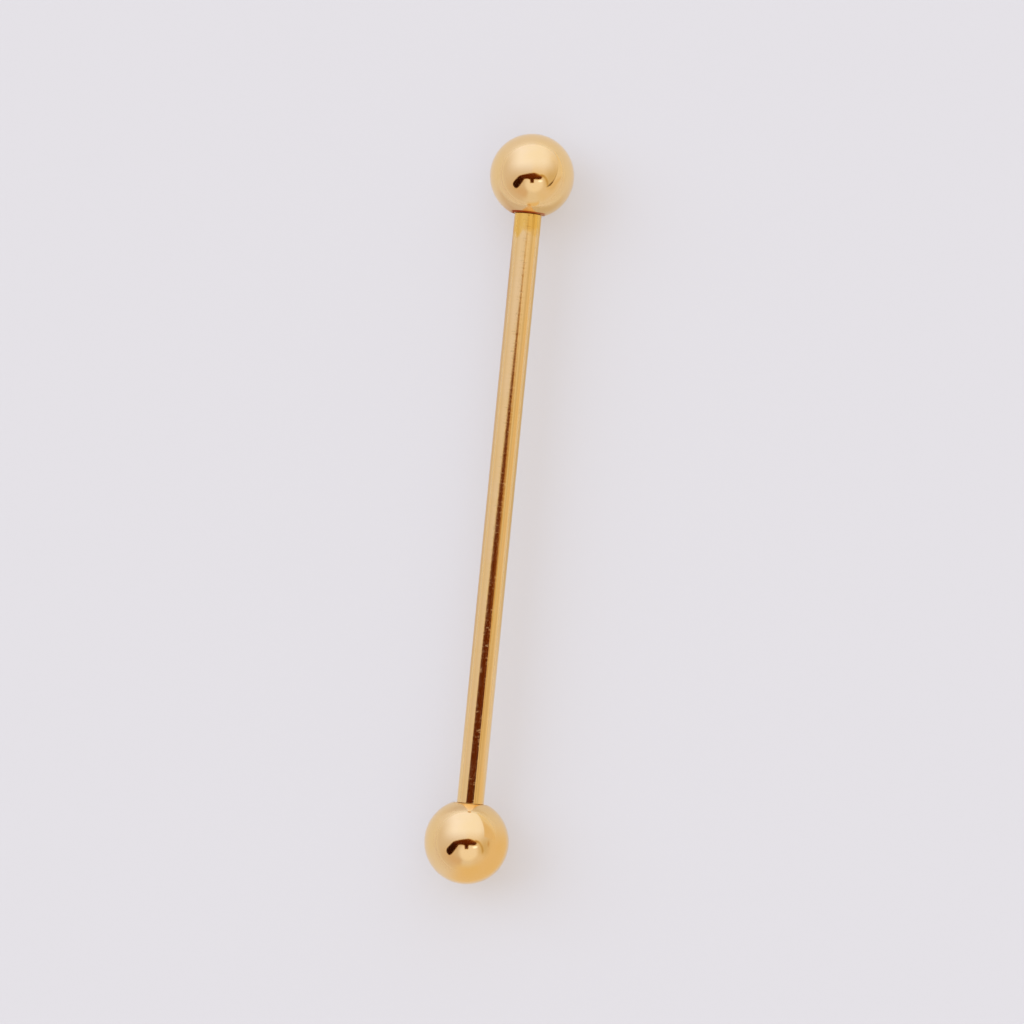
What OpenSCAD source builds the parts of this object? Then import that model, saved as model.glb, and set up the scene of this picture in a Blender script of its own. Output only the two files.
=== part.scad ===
// Straight barbell for body jewellery: a round bar with a screw-on ball at each end.
// It lies along X on its two balls, as on a table: z = 0 is the surface, and the origin is under the bar's middle.

/* [Bar] */
// Length of bar that shows between the mouths of the two balls, mm
bar_length = 35; // [16:1:60]
// Diameter of the bar (14 gauge is 1.6 mm)
bar_d = 1.6; // [1.2:0.1:2]
// Width of the eased edge at each end of the plain bar, mm
bar_ease = 0.04; // [0.02:0.01:0.08]

/* [Balls] */
// Diameter of each end ball, mm
ball_d = 5; // [4.4:0.1:8]
// Width of the flat ring around each ball's mouth, mm
face = 0.15; // [0.05:0.01:0.2]
// Width of the 90 degree countersink inside that ring, mm
countersink = 0.08; // [0.05:0.01:0.1]
// Radial gap between the bar and the wall of a ball's hole, mm
hole_gap = 0.02; // [0.01:0.01:0.05]

/* [Thread] */
// Length of the threaded end that runs into each ball, mm
thread_length = 2.8; // [1.6:0.1:2.8]
// Pitch of the thread, mm
pitch = 0.35; // [0.25:0.05:0.4]
// Depth of one thread groove, mm
thread_depth = 0.19; // [0.1:0.01:0.22]
// Radial gap between the thread's crests and the wall of a ball's hole, mm
thread_gap = 0.04; // [0.02:0.01:0.09]

/* [Hidden] */

gold = [0.87, 0.69, 0.40];
bar_r = bar_d / 2;
ball_r = ball_d / 2;
half = bar_length / 2;                              // from the middle to each ball's mouth
hole_r = bar_r + hole_gap;
sink_r = hole_r + countersink;
mouth_r = sink_r + face;
mouth_in = sqrt(pow(ball_r, 2) - pow(mouth_r, 2));  // from a ball's centre to its mouth
ball_at = half + mouth_in;                          // from the middle to each ball's centre
hole_depth = thread_length + 0.2;
crest_r = hole_r - thread_gap;                      // the crests pass through the plain hole
root_r = crest_r - thread_depth;
turns = floor((thread_length - 0.3) / pitch);
relief = thread_length - 0.12 - turns * pitch;      // plain undercut between the bar and the first crest

// Half outline of a threaded end: x is the radius and y the distance from the mouth, with one sharp crest for each turn
function thread_outline() = concat(
    [[0, -0.6], [root_r, -0.6], [root_r, relief]],
    [for (i = [0 : turns - 1]) each [
        [root_r, relief + i * pitch + 0.03],
        [crest_r, relief + (i + 0.5) * pitch],
        [root_r, relief + (i + 1) * pitch - 0.03]
    ]],
    [[root_r, thread_length], [0, thread_length]]
);

// One threaded end, growing along +Z from a ball's mouth at z = 0
module thread_end() {
    rotate_extrude($fn = 64) polygon(thread_outline());
}

// The plain bar with its edges eased, along Z and centred
module shank() {
    rotate_extrude($fn = 64) polygon([
        [0, -half], [bar_r - bar_ease, -half], [bar_r, -half + bar_ease],
        [bar_r, half - bar_ease], [bar_r - bar_ease, half], [0, half]
    ]);
}

module bar() {
    color(gold)
    translate([0, 0, ball_r]) rotate([0, 90, 0]) union() {
        shank();
        translate([0, 0, half]) thread_end();
        translate([0, 0, -half]) rotate([180, 0, 0]) thread_end();
    }
}

// One ball with its blind hole, centred on the origin and open towards -Z
module screw_ball() {
    difference() {
        sphere(r = ball_r, $fn = 96);
        // plain hole that takes the thread
        translate([0, 0, -mouth_in]) cylinder(h = hole_depth, r = hole_r, $fn = 64);
        // drill point at the end of the hole
        translate([0, 0, -mouth_in + hole_depth - 0.001]) cylinder(h = hole_r * 0.5, r1 = hole_r, r2 = 0, $fn = 64);
        // small countersink
        translate([0, 0, -mouth_in]) cylinder(h = countersink, r1 = sink_r, r2 = hole_r, $fn = 64);
        // flat face that the mouth lies in
        translate([0, 0, -ball_r - 1]) cylinder(h = ball_r + 1 - mouth_in, r = mouth_r, $fn = 64);
    }
}

module ball_right() {
    color(gold)
    translate([ball_at, 0, ball_r]) rotate([0, 90, 0]) screw_ball();
}

module ball_left() {
    color(gold)
    translate([-ball_at, 0, ball_r]) rotate([0, -90, 0]) screw_ball();
}

bar();
ball_left();
ball_right();
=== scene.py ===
import math

import bmesh
import bpy
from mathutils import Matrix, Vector


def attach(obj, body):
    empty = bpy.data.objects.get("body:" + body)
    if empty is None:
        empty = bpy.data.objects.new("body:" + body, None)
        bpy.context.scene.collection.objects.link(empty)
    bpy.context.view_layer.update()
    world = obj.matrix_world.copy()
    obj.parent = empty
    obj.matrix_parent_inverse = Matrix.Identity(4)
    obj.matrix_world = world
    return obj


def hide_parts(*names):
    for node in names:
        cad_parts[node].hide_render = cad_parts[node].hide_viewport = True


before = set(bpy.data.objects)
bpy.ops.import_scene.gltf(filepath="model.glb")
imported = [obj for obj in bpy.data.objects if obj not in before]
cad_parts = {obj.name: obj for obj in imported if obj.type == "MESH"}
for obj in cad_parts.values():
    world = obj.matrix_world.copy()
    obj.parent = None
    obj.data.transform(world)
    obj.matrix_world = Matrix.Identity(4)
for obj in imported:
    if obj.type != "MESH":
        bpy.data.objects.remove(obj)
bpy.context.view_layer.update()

MM = 0.001
scene = bpy.context.scene

# ---------------------------------------------------------------- sizes, in mm, as in the CAD
AXIS_Z = 2.5
BAR_R = 0.8
HALF = 17.5
EASE = 0.04
BALL_R = 2.5
HOLE_R = 0.82
MOUTH_R = 1.05                                             # outside of the flat ring round the hole
SINK_R = 0.90                                              # outside of the small countersink within it
BUFF = 0.45                                                # radius of the buffed edge at a ball's mouth
HOLE_DEEP = 3.0
BALL_AT = HALF + math.sqrt(BALL_R ** 2 - MOUTH_R ** 2)
CREST_R = 0.78
ROOT_R = 0.59
PITCH = 0.35
TIP = HALF + 2.8

# ---------------------------------------------------------------- camera, first
LEAN = math.radians(5.616)
UP = Vector((math.cos(LEAN), math.sin(LEAN), 0.0))       # picture-up on the floor
RIGHT = Vector((math.sin(LEAN), -math.cos(LEAN), 0.0))   # picture-right on the floor
EYE = Vector((-8.0, 0.0, 279.5)) * MM
AIM = Vector((-0.149, -0.766, 2.5)) * MM

cam_data = bpy.data.cameras.new("photo_camera")
cam = bpy.data.objects.new("photo_camera", cam_data)
scene.collection.objects.link(cam)
forward = (AIM - EYE).normalized()
right = forward.cross(UP).normalized()
up = right.cross(forward)
turn = cam.matrix_world.copy()
for i, column in enumerate((right, up, -forward)):
    for j in range(3):
        turn[j][i] = column[j]
turn.translation = EYE
cam.matrix_world = turn
cam_data.sensor_width = 36.0
cam_data.lens = 18.0 / math.tan(math.radians(12.458) / 2)
cam_data.clip_start = 0.001
cam_data.clip_end = 20.0
scene.camera = cam


# ---------------------------------------------------------------- mesh helpers
def new_object(name, verts, faces, smooth=True):
    mesh = bpy.data.meshes.new(name)
    mesh.from_pydata(verts, [], faces)
    mesh.validate()
    bm = bmesh.new()
    bm.from_mesh(mesh)
    bmesh.ops.recalc_face_normals(bm, faces=bm.faces)
    bm.to_mesh(mesh)
    bm.free()
    for p in mesh.polygons:
        p.use_smooth = smooth
    obj = bpy.data.objects.new(name, mesh)
    scene.collection.objects.link(obj)
    return obj


def lathe(name, outline, around):
    """Closed solid turned about the bar's axis. outline runs from pole to pole as (x, radius) or (x, function of the angle), in mm."""
    verts, rings = [], []
    for x, r in outline:
        if not callable(r) and r == 0:
            rings.append([len(verts)])
            verts.append((x * MM, 0.0, AXIS_Z * MM))
            continue
        ring = []
        for k in range(around):
            a = 2 * math.pi * k / around
            rr = r(a) if callable(r) else r
            ring.append(len(verts))
            verts.append((x * MM, rr * MM * math.cos(a), (AXIS_Z + rr * math.sin(a)) * MM))
        rings.append(ring)
    faces = []
    for a, b in zip(rings, rings[1:]):
        for k in range(around):
            k2 = (k + 1) % around
            if len(a) == 1:
                faces.append((a[0], b[k], b[k2]))
            elif len(b) == 1:
                faces.append((a[k], b[0], a[k2]))
            else:
                faces.append((a[k], b[k], b[k2], a[k2]))
    return new_object(name, verts, faces)


def arc(cx, cr, radius, start, end, steps):
    """Points of an arc in the (x, radius) outline, angles in degrees from +x towards +radius."""
    out = []
    for i in range(steps + 1):
        a = math.radians(start + (end - start) * i / steps)
        out.append((cx + radius * math.cos(a), cr + radius * math.sin(a)))
    return out


def smoothstep(x, a, b):
    t = min(1.0, max(0.0, (x - a) / (b - a)))
    return t * t * (3 - 2 * t)


# ---------------------------------------------------------------- the bar
def thread_radius(d, side):
    """The screw thread at distance d outside the ball's mouth: a V groove that winds round the end and runs out at both its ends."""
    lift = smoothstep(d, 0.2, 0.5) * (1 - smoothstep(d, 2.5, 2.72))

    def radius(angle):
        phase = (d / PITCH - side * angle / (2 * math.pi)) % 1.0
        tooth = 1 - abs(2 * phase - 1)                    # 0 in the groove, 1 on the crest
        tooth = min(1.0, max(0.0, (tooth - 0.06) / 0.80))
        return ROOT_R + (CREST_R - 0.004 - ROOT_R) * tooth * lift

    return radius


def bar_end(side):
    """Outline of one end, from the plain bar's eased edge to the tip; side is 1 or -1."""
    pts = []
    ease = EASE
    for i in range(9):                                     # eased shoulder of the plain bar
        a = math.radians(90 - 90 * i / 8)
        pts.append((HALF - ease + ease * math.cos(a), BAR_R - ease + ease * math.sin(a)))
    pts += [(HALF, (BAR_R - ease + ROOT_R) / 2), (HALF, ROOT_R + 0.03), (HALF + 0.012, ROOT_R + 0.010), (HALF + 0.05, ROOT_R)]
    d = 0.10
    while d < 2.74:
        pts.append((HALF + d, thread_radius(d, side)))
        d += 0.0219
    pts += [(TIP - 0.05, ROOT_R), (TIP - 0.045, ROOT_R - 0.002), (TIP - 0.004, ROOT_R - 0.05), (TIP, ROOT_R - 0.06), (TIP, 0.3), (TIP, 0)]
    return [(side * x, r) for x, r in pts]


left_end = list(reversed(bar_end(-1)))
right_end = bar_end(1)
shank = [(-HALF + EASE + 0.03, BAR_R)]
shank += [(-17.0 + 34.0 * i / 68, BAR_R) for i in range(69)]
shank += [(HALF - EASE - 0.03, BAR_R)]
bar = lathe("bar_piece", left_end + shank + right_end, 144)


# ---------------------------------------------------------------- the balls
def ball_outline(side):
    """From the pole away from the bar, over the sphere, round the mouth's edge and down the countersunk hole to its drill point."""
    c = side * BALL_AT
    pts = [(c + side * BALL_R, 0)]
    mouth = HALF
    # the edge is buffed: an arc that touches the sphere and the flat ring
    edge_r = math.sqrt((BALL_R - BUFF) ** 2 - (BALL_AT - HALF - BUFF) ** 2)
    edge_x = HALF + BUFF
    open_angle = math.degrees(math.atan2(edge_r, BALL_AT - edge_x))
    last = 180 - open_angle
    n = 110
    for i in range(1, n + 1):
        a = math.radians(last * i / n)
        pts.append((c + side * BALL_R * math.cos(a), BALL_R * math.sin(a)))
    for i in range(1, 13):
        a = math.radians(open_angle * (1 - i / 12))
        pts.append((side * (edge_x - BUFF * math.cos(a)), edge_r + BUFF * math.sin(a)))
    pts += [(side * mouth, SINK_R + 0.006), (side * (mouth + 0.004), SINK_R - 0.001), (side * (mouth + 0.012), SINK_R - 0.010)]
    pts += [(side * (mouth + 0.04), SINK_R - 0.038), (side * (mouth + 0.075), HOLE_R + 0.004), (side * (mouth + 0.085), HOLE_R), (side * (mouth + 0.14), HOLE_R), (side * (mouth + 0.26), HOLE_R)]

    # tapped hole: the thread's crests stand at the hole's radius and its groove is cut outward
    def tapped(d):
        lift = smoothstep(d, 0.28, 0.55) * (1 - smoothstep(d, 2.55, 2.8))

        def radius(angle):
            phase = (d / PITCH - side * angle / (2 * math.pi)) % 1.0
            cut = 1 - abs(2 * phase - 1)
            cut = min(1.0, max(0.0, (cut - 0.12) / 0.76))
            return HOLE_R + 0.15 * cut * lift

        return radius

    d = 0.29
    while d < 2.84:
        pts.append((side * (mouth + d), tapped(d)))
        d += 0.0292
    pts += [(side * (mouth + 2.9), HOLE_R), (side * (mouth + HOLE_DEEP - 0.01), HOLE_R), (side * (mouth + HOLE_DEEP), HOLE_R - 0.008)]
    pts += [(side * (mouth + HOLE_DEEP + 0.2), HOLE_R - 0.41), (side * (mouth + HOLE_DEEP + 0.4), 0.01), (side * (mouth + HOLE_DEEP + 0.405), 0)]
    return pts


ball_left = lathe("ball_left_piece", ball_outline(-1), 160)
ball_right = lathe("ball_right_piece", ball_outline(1), 160)


# ---------------------------------------------------------------- node helpers
class Nodes:
    def __init__(self, tree):
        self.tree = tree
        tree.nodes.clear()

    def add(self, kind, **props):
        node = self.tree.nodes.new(kind)
        for k, v in props.items():
            setattr(node, k, v)
        return node

    def put(self, socket, value):
        if isinstance(value, bpy.types.NodeSocket):
            self.tree.links.new(value, socket)
        else:
            socket.default_value = value

    def math(self, op, a, b=None, c=None, clamp=False):
        node = self.add("ShaderNodeMath", operation=op, use_clamp=clamp)
        for s, v in zip(node.inputs, (a, b, c)):
            if v is not None:
                self.put(s, v)
        return node.outputs[0]

    def vector(self, op, a, b=None, out=0):
        node = self.add("ShaderNodeVectorMath", operation=op)
        self.put(node.inputs[0], a)
        if b is not None:
            self.put(node.inputs["Scale"] if op == "SCALE" else node.inputs[1], b)
        return node.outputs[out]

    def dot(self, a, b):
        node = self.add("ShaderNodeVectorMath", operation="DOT_PRODUCT")
        self.put(node.inputs[0], a)
        self.put(node.inputs[1], tuple(b))
        return node.outputs["Value"]

    def ramp(self, value, a, b, lo=0.0, hi=1.0, smooth=True):
        """lo below a, hi above b, eased in between."""
        node = self.add("ShaderNodeMapRange", interpolation_type="SMOOTHSTEP" if smooth else "LINEAR", clamp=True)
        flip = a > b
        if flip:
            a, b, lo, hi = b, a, hi, lo
        self.put(node.inputs["Value"], value)
        for k, v in (("From Min", a), ("From Max", b), ("To Min", lo), ("To Max", hi)):
            self.put(node.inputs[k], v)
        return node.outputs["Result"]

    def mix(self, factor, a, b, kind="MIX"):
        node = self.add("ShaderNodeMix", data_type="RGBA", blend_type=kind)
        self.put(node.inputs[0], factor)
        for s, v in ((node.inputs[6], a), (node.inputs[7], b)):
            if isinstance(v, tuple) and len(v) == 3:
                v = (*v, 1.0)
            self.put(s, v)
        return node.outputs[2]

    def noise(self, vector, scale, detail=2.0, rough=0.5, out=0, **kw):
        node = self.add("ShaderNodeTexNoise")
        self.put(node.inputs["Vector"], vector)
        self.put(node.inputs["Scale"], scale)
        self.put(node.inputs["Detail"], detail)
        self.put(node.inputs["Roughness"], rough)
        return node.outputs[out]

    def scaled(self, vector, x, y, z, turn=(0, 0, 0), move=(0, 0, 0)):
        node = self.add("ShaderNodeMapping")
        self.put(node.inputs["Vector"], vector)
        self.put(node.inputs["Scale"], (x, y, z))
        self.put(node.inputs["Rotation"], turn)
        self.put(node.inputs["Location"], move)
        return node.outputs[0]


GOLD = (0.95, 0.672, 0.33)


def gold_material(name, ball_x=None):
    """Polished gold plating. ball_x is the x of a ball's centre in metres, or None for the bar."""
    mat = bpy.data.materials.new(name)
    mat.use_nodes = True
    n = Nodes(mat.node_tree)
    out = n.add("ShaderNodeOutputMaterial")
    bsdf = n.add("ShaderNodeBsdfPrincipled")
    n.tree.links.new(bsdf.outputs[0], out.inputs[0])
    coords = n.add("ShaderNodeTexCoord").outputs["Object"]
    # millimetres from the piece's own middle
    mm = n.scaled(coords, 1000, 1000, 1000, move=(-(ball_x or 0.0) * 1000, 0, -AXIS_Z))
    sep = n.add("ShaderNodeSeparateXYZ")
    n.put(sep.inputs[0], mm)
    x, y, z = sep.outputs
    axis_r = n.math("SQRT", n.math("ADD", n.math("MULTIPLY", y, y), n.math("MULTIPLY", z, z)))

    # colour: the plating is a touch paler or redder from place to place
    drift = n.noise(mm, 0.55, 3.0, 0.55)
    fine = n.noise(mm, 7.0, 4.0, 0.6)
    colour = n.mix(n.ramp(drift, 0.35, 0.65), GOLD, (0.95, 0.665, 0.30))
    colour = n.mix(n.math("MULTIPLY", n.ramp(fine, 0.52, 0.78), 0.22), colour, (0.90, 0.60, 0.25))

    if ball_x is None:
        # polishing lines round the bar: the noise is squeezed along the axis and stays even around it
        rings = n.noise(n.scaled(mm, 9.0, 0.8, 0.8), 1.0, 5.0, 0.62)
        rings2 = n.noise(n.scaled(mm, 2.2, 0.35, 0.35, move=(3, 1, 2)), 1.0, 3.0, 0.5)
        hair = n.noise(n.scaled(mm, 26.0, 1.6, 1.6, turn=(0, 0.02, 0.03)), 1.0, 2.0, 0.5)
        # short scratches across the bar, and a few that run aslant
        nicks = n.ramp(n.noise(n.scaled(mm, 11.0, 2.6, 2.6, move=(1.7, 0, 4)), 1.0, 1.5, 0.5), 0.59, 0.77)
        slant = n.ramp(n.noise(n.scaled(mm, 7.0, 2.0, 2.0, turn=(0, 0, 0.5), move=(5, 2, 1)), 1.0, 1.5, 0.5), 0.65, 0.78)
        nicks = n.math("MAXIMUM", nicks, slant)
        colour = n.mix(n.math("MULTIPLY", n.ramp(rings, 0.35, 0.75), 0.25), colour, (0.94, 0.63, 0.26))
        # the bar is coloured a deeper gold, with a ragged edge, over the last millimetre and a half beside the right
        # ball
        ragged = n.noise(n.scaled(mm, 0.9, 1.6, 1.6, move=(2, 7, 3)), 1.0, 3.0, 0.6)
        deep_at = n.math("ADD", x, n.math("MULTIPLY", n.math("SUBTRACT", ragged, 0.5), 3.4))
        deep = n.ramp(deep_at, 15.9, 16.7)
        colour = n.mix(deep, colour, (0.925, 0.57, 0.135))
        rough = n.math("ADD", n.ramp(rings, 0.3, 0.8, 0.055, 0.105), n.math("MULTIPLY", nicks, 0.13))
        rough = n.math("ADD", rough, n.math("MULTIPLY", deep, 0.02))
        height = n.math("ADD", n.math("MULTIPLY", rings, 0.55), n.math("MULTIPLY", hair, 0.12))
        height = n.math("ADD", height, n.math("MULTIPLY", rings2, 2.0))
        height = n.math("ADD", height, n.math("MULTIPLY", nicks, -0.52))
        # threaded ends: the plating is thin on the crests, so the steel greys it a little
        thread = n.ramp(n.math("ABSOLUTE", x), HALF - 0.02, HALF + 0.02)
        crest = n.math("MULTIPLY", thread, n.ramp(axis_r, 0.70, 0.775))
        colour = n.mix(n.math("MULTIPLY", crest, 0.55), colour, (0.80, 0.70, 0.52))
        rough = n.math("ADD", rough, n.math("MULTIPLY", thread, 0.12))
        strength, distance = 1.0, 0.0000011
    else:
        # fine random wiping marks, as on tumbled and buffed balls
        a = n.noise(n.scaled(mm, 22, 1.3, 1.3, turn=(0.4, 0.9, 0.2)), 1.0, 2.0, 0.5)
        b = n.noise(n.scaled(mm, 1.1, 19, 1.1, turn=(1.2, 0.1, 0.8)), 1.0, 2.0, 0.5)
        c = n.noise(n.scaled(mm, 1.2, 1.2, 24, turn=(0.2, 0.7, 1.9)), 1.0, 2.0, 0.5)
        marks = n.math("MAXIMUM", n.ramp(a, 0.66, 0.80), n.math("MAXIMUM", n.ramp(b, 0.68, 0.82), n.ramp(c, 0.67, 0.80)))
        swell = n.noise(mm, 0.9, 2.0, 0.5)
        rough = n.math("ADD", n.ramp(fine, 0.3, 0.75, 0.055, 0.10), n.math("MULTIPLY", marks, 0.07))
        height = n.math("ADD", n.math("MULTIPLY", swell, 2.2), n.math("MULTIPLY", marks, -0.18))
        height = n.math("ADD", height, n.math("MULTIPLY", fine, 0.10))
        # the hole's wall is as drilled and tapped: duller, with the steel showing
        hole = n.math("MULTIPLY", n.ramp(axis_r, 1.0, 0.9), n.ramp(n.math("ABSOLUTE", x), 2.3, 2.2))
        colour = n.mix(n.math("MULTIPLY", hole, 0.5), colour, (0.62, 0.50, 0.33))
        rough = n.math("ADD", rough, n.math("MULTIPLY", hole, 0.18))
        # painted shade round the mouth, where the ball meets the bar: a thin dark line stands for the shaded gap at the
        # joint, stronger on the right ball
        inward = n.math("ADD", n.math("MULTIPLY", x, -1.0 if ball_x > 0 else 1.0), n.ramp(y, -0.1, 0.6, 0.0, 0.016))
        painted_mouth_shade = n.math("MULTIPLY", n.ramp(inward, 2.190, 2.215), n.ramp(axis_r, 0.86, 0.90))
        painted_mouth_shade = n.math("MULTIPLY", painted_mouth_shade, n.ramp(fine, 0.25, 0.45, 0.80, 1.0))
        painted_mouth_shade = n.math("MULTIPLY", painted_mouth_shade, n.ramp(y, -1.0, 0.1, 0.75, 1.0))
        painted_mouth_shade = n.math("MULTIPLY", painted_mouth_shade, n.ramp(n.math("ABSOLUTE", y), 1.10, 0.88))
        # the painted shade's tone: dark red-brown on the right ball, a faint amber on the left
        mouth_shade_tone = (0.46, 0.070, 0.004) if ball_x > 0 else (0.90, 0.56, 0.16)
        colour = n.mix(n.math("MULTIPLY", painted_mouth_shade, 0.98 if ball_x > 0 else 0.45), colour, mouth_shade_tone)
        rough = n.math("ADD", rough, n.math("MULTIPLY", painted_mouth_shade, 0.60 if ball_x > 0 else 0.20))
        strength, distance = 1.0, 0.000001
    bump = n.add("ShaderNodeBump")
    n.put(bump.inputs["Strength"], strength)
    n.put(bump.inputs["Distance"], distance)
    n.put(bump.inputs["Height"], height)
    n.put(bsdf.inputs["Base Color"], colour)
    n.put(bsdf.inputs["Roughness"], rough)
    n.put(bsdf.inputs["Normal"], bump.outputs[0])
    bsdf.inputs["Metallic"].default_value = 1.0
    if ball_x is None:
        tangent = n.add("ShaderNodeTangent", direction_type="RADIAL", axis="X")
        n.put(bsdf.inputs["Tangent"], tangent.outputs[0])
        bsdf.inputs["Anisotropic"].default_value = 0.85
        bsdf.inputs["Anisotropic Rotation"].default_value = 0.25
    return mat


def wear(piece, material, body, node):
    piece.data.materials.clear()
    piece.data.materials.append(material)
    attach(piece, body)
    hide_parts(node)


wear(bar, gold_material("gold_on_bar"), "bar", "bar")
wear(ball_left, gold_material("gold_on_ball_left", -BALL_AT * MM), "ball_left", "ball_left")
wear(ball_right, gold_material("gold_on_ball_right", BALL_AT * MM), "ball_right", "ball_right")


# ---------------------------------------------------------------- the studio
def with_gloss(n, shader, amount):
    """A surface that grows glossy where it is seen at a glancing angle, but only in reflections."""
    path = n.add("ShaderNodeLightPath")
    glance = n.add("ShaderNodeLayerWeight")
    glance.inputs["Blend"].default_value = 0.5
    amount = n.math("MULTIPLY", amount, n.math("POWER", glance.outputs["Facing"], 5.0))
    amount = n.math("MULTIPLY", amount, n.math("SUBTRACT", 1.0, path.outputs["Is Camera Ray"]))
    mirror = n.add("ShaderNodeBsdfPrincipled")
    mirror.inputs["Base Color"].default_value = (1, 1, 1, 1)
    mirror.inputs["Metallic"].default_value = 1.0
    mirror.inputs["Roughness"].default_value = 0.22
    both = n.add("ShaderNodeMixShader")
    n.put(both.inputs[0], amount)
    n.put(both.inputs[1], shader)
    n.put(both.inputs[2], mirror.outputs[0])
    return both.outputs[0]


def studio_card(name, spot, across, along):
    """A sheet of the studio that shows only in reflections: the camera, the floor and the shadows don't see it.
    spot(i / across, j / along) gives a vertex as ((right, up, height) in mm, its colour, how solid it is, and how glossy)."""
    verts, tones, gloss = [], [], []
    for j in range(along + 1):
        for i in range(across + 1):
            (u, v, h), colour, solid, *glossy = spot(i / across, j / along)
            verts.append(tuple(RIGHT * (u * MM) + UP * (v * MM) + Vector((0, 0, h * MM))))
            tones += [*colour, solid]
            gloss += glossy
    w = across + 1
    faces = [(j * w + i, j * w + i + 1, (j + 1) * w + i + 1, (j + 1) * w + i) for j in range(along) for i in range(across)]
    faces = [f for f in faces if max(tones[4 * k + 3] for k in f) > 0]
    mesh = bpy.data.meshes.new(name)
    mesh.from_pydata(verts, [], faces)
    mesh.attributes.new("tone", "FLOAT_COLOR", "POINT").data.foreach_set("color", tones)
    if gloss:
        mesh.attributes.new("gloss", "FLOAT", "POINT").data.foreach_set("value", gloss)
    mesh.update()
    mat = bpy.data.materials.new(name)
    mat.use_nodes = True
    n = Nodes(mat.node_tree)
    out = n.add("ShaderNodeOutputMaterial")
    tone = n.add("ShaderNodeAttribute", attribute_type="GEOMETRY", attribute_name="tone")
    light = n.add("ShaderNodeEmission")
    n.put(light.inputs["Color"], tone.outputs["Color"])
    shown = light.outputs[0]
    if gloss:
        shown = with_gloss(n, shown, n.add("ShaderNodeAttribute", attribute_type="GEOMETRY", attribute_name="gloss").outputs["Fac"])
    clear = n.add("ShaderNodeBsdfTransparent")
    both = n.add("ShaderNodeMixShader")
    n.put(both.inputs[0], tone.outputs["Alpha"])
    n.put(both.inputs[1], clear.outputs[0])
    n.put(both.inputs[2], shown)
    n.put(out.inputs[0], both.outputs[0])
    mesh.materials.append(mat)
    obj = bpy.data.objects.new(name, mesh)
    scene.collection.objects.link(obj)
    obj.visible_camera = False
    obj.visible_diffuse = False
    obj.visible_shadow = False
    return obj


def blend(a, b, t):
    return tuple(x + (y - x) * t for x, y in zip(a, b))


# floor
floor_mesh = bpy.data.meshes.new("floor")
F = 6.0
floor_mesh.from_pydata([(-F, -F, 0), (F, -F, 0), (F, F, 0), (-F, F, 0)], [], [(0, 1, 2, 3)])
floor_mesh.update()
floor = bpy.data.objects.new("floor", floor_mesh)
scene.collection.objects.link(floor)
floor_mat = bpy.data.materials.new("pale_floor")
floor_mat.use_nodes = True
n = Nodes(floor_mat.node_tree)
fb = n.add("ShaderNodeBsdfPrincipled")
fb.inputs["Base Color"].default_value = (0.46, 0.465, 0.478, 1)
fb.inputs["Roughness"].default_value = 0.9
fb.inputs["Specular IOR Level"].default_value = 0.0
out = n.add("ShaderNodeOutputMaterial")
n.put(out.inputs[0], with_gloss(n, fb.outputs[0], 0.75))
floor_mesh.materials.append(floor_mat)

# a dark flag beside the camera gives the polished metal its dark line; seen from the floor it is an arch with a short stem,
# and a thin loose strap hangs from its right end. It is a soft-edged filter, so the line fades through amber at its edges.
top_edge = [(-470, -262), (-478, -225), (-442, -166), (-396, -127), (-346, -92), (-273, -47), (-220, -10), (-197, 4), (-167, 12), (-138, 19), (-112, 23), (-87, 27),
            (-64, 31), (-40, 34), (-15, 37), (10, 40), (33, 40), (57, 35), (85, 25), (112, 15), (134, 0), (148, -16), (144, -34), (122, -47)]
low_edge = [(90, -50), (55, -47), (27, -46), (23, -98), (-23, -98), (-27, -48), (-50, -40), (-80, -38), (-110, -42), (-147, -90), (-194, -142), (-258, -208), (-325, -262), (-375, -292), (-425, -298)]
outline = top_edge + low_edge
strap = [(95, -10), (135, 6), (174, -3), (205, -24), (232, -55), (258, -86), (278, -117), (300, -165), (319, -217), (330, -270)]


def line_distance(x, y, line):
    """Distance in mm to a line of points, and how far along it the nearest point is, from 0 to 1."""
    best = (1e9, 0.0)
    for k, ((x0, y0), (x1, y1)) in enumerate(zip(line, line[1:])):
        dx, dy = x1 - x0, y1 - y0
        t = min(1.0, max(0.0, ((x - x0) * dx + (y - y0) * dy) / (dx * dx + dy * dy)))
        best = min(best, (math.hypot(x - x0 - t * dx, y - y0 - t * dy), (k + t) / (len(line) - 1)))
    return best


def signed_distance(x, y):
    """Distance in mm to the flag's outline, positive inside."""
    inside = False
    for (x0, y0), (x1, y1) in zip(outline, outline[1:] + outline[:1]):
        if (y0 > y) != (y1 > y) and x < x0 + (y - y0) / (y1 - y0) * (x1 - x0):
            inside = not inside
    d = line_distance(x, y, outline + outline[:1])[0]
    return d if inside else -d


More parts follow.
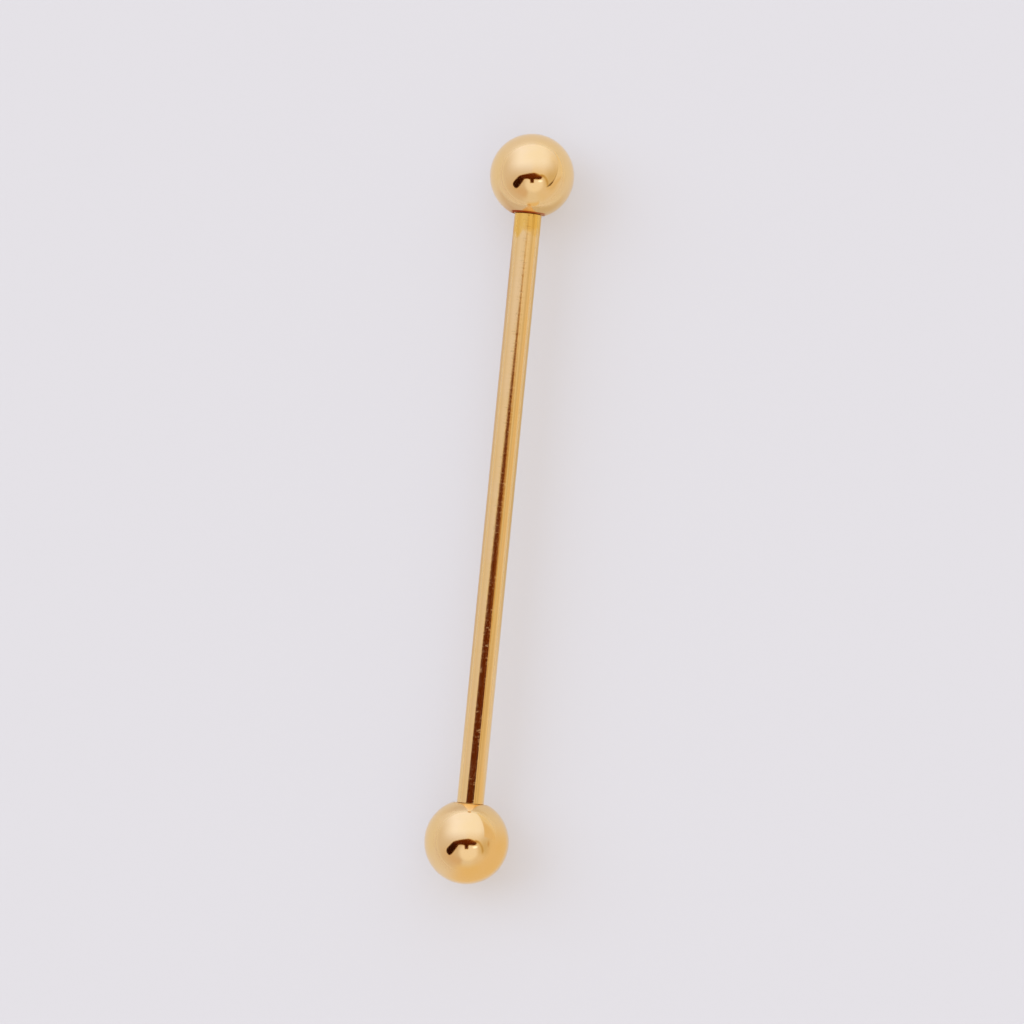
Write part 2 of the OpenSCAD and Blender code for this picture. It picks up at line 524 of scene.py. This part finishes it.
eye_u = EYE.dot(RIGHT) / MM
eye_v = EYE.dot(UP) / MM
STEP = 6.0
LEFT, RIGHTMOST, LOWEST, HIGHEST = -518, 370, -356, 76
cols, rows = int((RIGHTMOST - LEFT) / STEP), int((HIGHEST - LOWEST) / STEP)
flag_verts, solid = [], []
for j in range(rows + 1):
    for i in range(cols + 1):
        u, v = LEFT + i * STEP, LOWEST + j * STEP
        soft = 9.0 + 9.0 * smoothstep(u, 10, 110) * smoothstep(v, -25, 15)
        body = smoothstep(signed_distance(u, v), -soft, soft) ** 2.2
        body *= 0.84 - 0.09 * smoothstep(v, 0, 26) * smoothstep(abs(u), 120, 60) + 0.22 * smoothstep(u, -120, -230)
        body *= 1 - 0.34 * smoothstep(u, 25, 85) * smoothstep(v, -16, 6)
        body *= 1 + 0.27 * smoothstep(v, -14, -32) + 0.06 * smoothstep(v, -60, -140)
        off, way = line_distance(u, v, strap)
        loose = smoothstep(off, 26 + 20 * way, 0) * (0.22 - 0.13 * smoothstep(way, 0.05, 0.4)) * smoothstep(way, 1.0, 0.8)
        solid.append(max(body, loose))
        flag_verts.append(tuple(RIGHT * ((u + eye_u) * MM) + UP * ((v + eye_v) * MM) + Vector((0, 0, 0.284))))
w = cols + 1
flag_faces = [(j * w + i, j * w + i + 1, (j + 1) * w + i + 1, (j + 1) * w + i) for j in range(rows) for i in range(cols)]
flag_faces = [f for f in flag_faces if max(solid[k] for k in f) > 0.001]
flag_mesh = bpy.data.meshes.new("flag_by_camera")
flag_mesh.from_pydata(flag_verts, [], flag_faces)
flag_mesh.attributes.new("solid", "FLOAT", "POINT").data.foreach_set("value", solid)
flag_mesh.update()
flag = bpy.data.objects.new("flag_by_camera", flag_mesh)
scene.collection.objects.link(flag)
filter_mat = bpy.data.materials.new("flag_filter")
filter_mat.use_nodes = True
n = Nodes(filter_mat.node_tree)
out = n.add("ShaderNodeOutputMaterial")
t = n.add("ShaderNodeAttribute", attribute_type="GEOMETRY", attribute_name="solid").outputs["Fac"]
through = n.add("ShaderNodeCombineXYZ")
deep = n.math("MAXIMUM", n.math("SUBTRACT", t, 0.86), 0.0)
for k, (least, bend, ease) in enumerate(((0.100, 1.0, 0.0), (0.0145, 1.0, -0.5), (0.0010, 0.85, -0.3))):
    n.put(through.inputs[k], n.math("POWER", least, n.math("ADD", n.math("POWER", t, bend), n.math("MULTIPLY", deep, ease))))
clear = n.add("ShaderNodeBsdfTransparent")
n.tree.links.new(through.outputs[0], clear.inputs["Color"])
n.tree.links.new(clear.outputs[0], out.inputs[0])
flag_mesh.materials.append(filter_mat)
flag.visible_camera = False
flag.visible_diffuse = False
flag.visible_shadow = False

# a sloping warm card close on the right, whose near edge crosses both balls' reflections
EDGE_AT = Vector((23.2, 11.7, 15.4))
EDGE_ALONG = Vector((0.138, -0.879, 0.457))
RIGHT_BALL = Vector((BALL_AT, 0.0, AXIS_Z))
LEFT_BALL = Vector((-BALL_AT, 0.0, AXIS_Z))


def edge(t, out_by=0.0):
    p = EDGE_AT + EDGE_ALONG * t
    return (p.x + out_by, p.y, p.z)


def warm_card(i, j):
    t = -33 + 59 * j
    return edge(t, 200 * i), blend((0.83, 0.76, 0.66), (0.775, 0.625, 0.43), smoothstep(t, -12, 4)), 1.0


def close_to(ball, target, reach=3.0):
    """Where the line by which the camera sees the target mirrored in a ball is reach mm away from the ball. All in mm."""
    normal = Vector((0, 0, 1))
    for _ in range(14):
        spot = ball + normal * BALL_R
        normal = ((target - spot).normalized() + (EYE / MM - spot).normalized()).normalized()
    spot = ball + normal * BALL_R
    p = spot + (target - spot).normalized() * reach
    return (p.dot(RIGHT), p.dot(UP), p.z)


# small dark tabs that stand close to a ball, so that only that ball shows them: one along the card's edge, one an amber streak
def edge_tab(i, j):
    t = -26 + 33 * j
    u, v, h = edge(t, -i * (2.6 * smoothstep(t, -28, -4) + 4.6 * smoothstep(t, -6, 2)))
    tone = blend((0.50, 0.34, 0.15), (0.15, 0.085, 0.022), smoothstep(t, -10, 2))
    solid = (0.30 + 0.70 * smoothstep(t, -12, 1)) * smoothstep(t, -27, -14) * smoothstep(t, 7.0, 4.5)
    return close_to(RIGHT_BALL, RIGHT * u + UP * v + Vector((0, 0, h))), tone, solid * (1 - 0.5 * smoothstep(i, 0.5, 1.0))


def amber_tab(i, j):
    turn, tilt = math.radians(94 + 24 * (j - 0.5)), math.radians(62 + 9 * (i - 0.5))
    way = (RIGHT * math.sin(turn) + UP * math.cos(turn)) * math.sin(tilt) + Vector((0, 0, math.cos(tilt)))
    solid = 0.62 * smoothstep(math.hypot(2 * i - 1, 2 * j - 1), 1.0, 0.2)
    return close_to(LEFT_BALL, LEFT_BALL + way * 250), (0.60, 0.38, 0.15), solid


def bright_pane(i, j):
    r = math.hypot(2 * i - 1, 2 * j - 1)
    return (70 + 110 * i + eye_u, -102 + 50 * j + eye_v, 283), (1.4, 1.55, 1.85), 0.9 * smoothstep(r, 1.0, 0.25)


# a warm bounce sheet that curves up from the floor round the left ball, on its side away from the bar
def warm_sweep(i, j):
    turn = math.radians(48 + 172 * i)
    path = [(3.3, 0.02), (4.2, 0.02), (5.5, 0.03), (7.5, 0.1), (9.5, 0.5), (11.5, 1.8), (13.0, 4.2), (14.0, 7.5), (14.6, 11.0), (15.0, 15.0)]
    k = min(int(j * 9), 8)
    r, h = blend(path[k], path[k + 1], j * 9 - k)
    centre = Vector((-BALL_AT * RIGHT.x, -BALL_AT * UP.x))
    solid = smoothstep(i, 0.0, 0.32) * smoothstep(i, 1.0, 0.80) * smoothstep(j, 0.0, 0.30) * smoothstep(j, 1.0, 0.74)
    return (centre.x + r * math.sin(turn), centre.y + r * math.cos(turn), h), (0.795, 0.645, 0.435), solid


# the floor beside the bar as the metal sees it, shaded along both sides
def floor_shade(i, j):
    u, v = -12 + 31 * i, -18.5 + 38.5 * j
    du, dv = u - RIGHT_BALL.dot(RIGHT), v - RIGHT_BALL.dot(UP)
    d, turn = math.hypot(du, dv), math.degrees(math.atan2(du, dv))
    beside = smoothstep(abs(u), 11, 5) * (smoothstep(v, -13, -2) if u > 0 else smoothstep(v, -17, -8)) * smoothstep(v, 18.5, 14)
    left_pool = smoothstep(d, 10, 3.5) * smoothstep(-turn, 118, 150)
    tone = (0.60, 0.52, 0.42) if u > 0 else (0.62, 0.56, 0.57)
    tone = blend(tone, (0.54, 0.40, 0.33), left_pool)
    return (u, v, 0.02), tone, max(0.85 * beside, 0.75 * left_pool), 0.75 * (1 - left_pool)


studio_card("warm_card", warm_card, 1, 20)
studio_card("edge_tab", edge_tab, 4, 40)
studio_card("amber_tab", amber_tab, 12, 16)
studio_card("bright_pane", bright_pane, 12, 12)
studio_card("warm_sweep", warm_sweep, 32, 27)
studio_card("floor_shade", floor_shade, 62, 77)

# soft light all round, painted on the sky: a wide pale window at picture-up, and quieter warm walls
world = bpy.data.worlds.new("studio")
scene.world = world
world.use_nodes = True
n = Nodes(world.node_tree)
out = n.add("ShaderNodeOutputWorld")
direction = n.add("ShaderNodeTexCoord").outputs["Generated"]
du = n.dot(direction, RIGHT)
dv = n.dot(direction, UP)
dz = n.dot(direction, (0, 0, 1))
DEG = 180 / math.pi
azimuth = n.math("MULTIPLY", n.math("ARCTAN2", du, dv), DEG)             # 0 at picture-up, 90 at picture-right
polar = n.math("MULTIPLY", n.math("ARCCOSINE", dz), DEG)                 # 0 overhead, 90 at the horizon
aside = n.math("ABSOLUTE", azimuth)
radians = n.math("MULTIPLY", azimuth, 1 / DEG)
across = n.math("ABSOLUTE", n.math("MULTIPLY", polar, n.math("SINE", radians)))     # degrees to either side of overhead
ahead = n.math("MULTIPLY", polar, n.math("COSINE", radians))                        # degrees towards picture-up
left_wall = n.mix(n.ramp(azimuth, -90, -125), (0.72, 0.66, 0.66), (0.70, 0.605, 0.545))
right_wall = n.mix(n.ramp(azimuth, 125, 150), (0.80, 0.70, 0.58), (0.79, 0.70, 0.61))
walls = n.mix(n.ramp(azimuth, -20, 20), left_wall, right_wall)
walls = n.mix(n.ramp(aside, 150, 175), walls, (0.79, 0.745, 0.735))
shade = n.math("MULTIPLY", n.math("MULTIPLY", n.ramp(azimuth, 40, 62), n.ramp(azimuth, 140, 112)), n.math("MULTIPLY", n.ramp(polar, 28, 52), n.ramp(polar, 82, 66)))
walls = n.mix(shade, walls, (0.675, 0.555, 0.37))
low_left = n.math("MULTIPLY", n.math("MULTIPLY", n.ramp(azimuth, -100, -135), n.ramp(azimuth, -172, -158)), n.math("MULTIPLY", n.ramp(polar, 40, 54), n.ramp(polar, 76, 62)))
walls = n.mix(low_left, walls, (0.685, 0.55, 0.45))
dome_at = (UP * -math.sin(math.radians(26)) + RIGHT * 0.09 + Vector((0, 0, math.cos(math.radians(26))))).normalized()
dome = n.ramp(n.dot(direction, dome_at), math.cos(math.radians(30)), math.cos(math.radians(16)))
walls = n.mix(dome, walls, (0.92, 0.885, 0.90))
window = n.math("MULTIPLY", n.ramp(across, 86, 28), n.ramp(ahead, -8, 38))
pane = n.mix(n.ramp(azimuth, -30, 40), (1.02, 1.10, 1.46), (0.99, 1.04, 1.28))
walls = n.mix(n.ramp(polar, 76, 96), walls, (0.775, 0.75, 0.78))
sky = n.mix(window, walls, pane)
sky = n.mix(n.ramp(polar, 90, 96), sky, (0.775, 0.75, 0.78))
light_path = n.add("ShaderNodeLightPath")
soft_fill = n.mix(1.0, sky, (1.04, 1.00, 0.915), "MULTIPLY")
lit = n.mix(light_path.outputs["Is Diffuse Ray"], sky, soft_fill)
flat = n.mix(light_path.outputs["Is Camera Ray"], lit, (0.765, 0.75, 0.79))
background = n.add("ShaderNodeBackground")
n.put(background.inputs["Color"], flat)
background.inputs["Strength"].default_value = 1.0
n.tree.links.new(background.outputs[0], out.inputs[0])

# a large soft key from picture-left and above, a little cooler than the fill, for the soft warm shadows
key_data = bpy.data.lights.new("soft_key", "SUN")
key_data.energy = 1.03
key_data.angle = math.radians(48)
key_data.color = (0.60, 0.76, 1.0)
key = bpy.data.objects.new("soft_key", key_data)
scene.collection.objects.link(key)
key_from = (RIGHT * -0.85 + UP * 0.35 + Vector((0, 0, 0.75))).normalized()
key.rotation_mode = "QUATERNION"
key.rotation_quaternion = key_from.to_track_quat("Z", "Y")
key.visible_glossy = False

# an even fill from straight above that casts no shadow
fill_data = bpy.data.lights.new("even_fill", "SUN")
fill_data.energy = 2.187
fill_data.angle = 0.0
fill_data.color = (1.0, 0.951, 0.957)
fill_data.use_shadow = False
even_fill = bpy.data.objects.new("even_fill", fill_data)
scene.collection.objects.link(even_fill)
even_fill.visible_glossy = False

scene.view_settings.view_transform = "Standard"
scene.view_settings.look = "None"
scene.view_settings.exposure = 0.0
scene.view_settings.gamma = 1.0
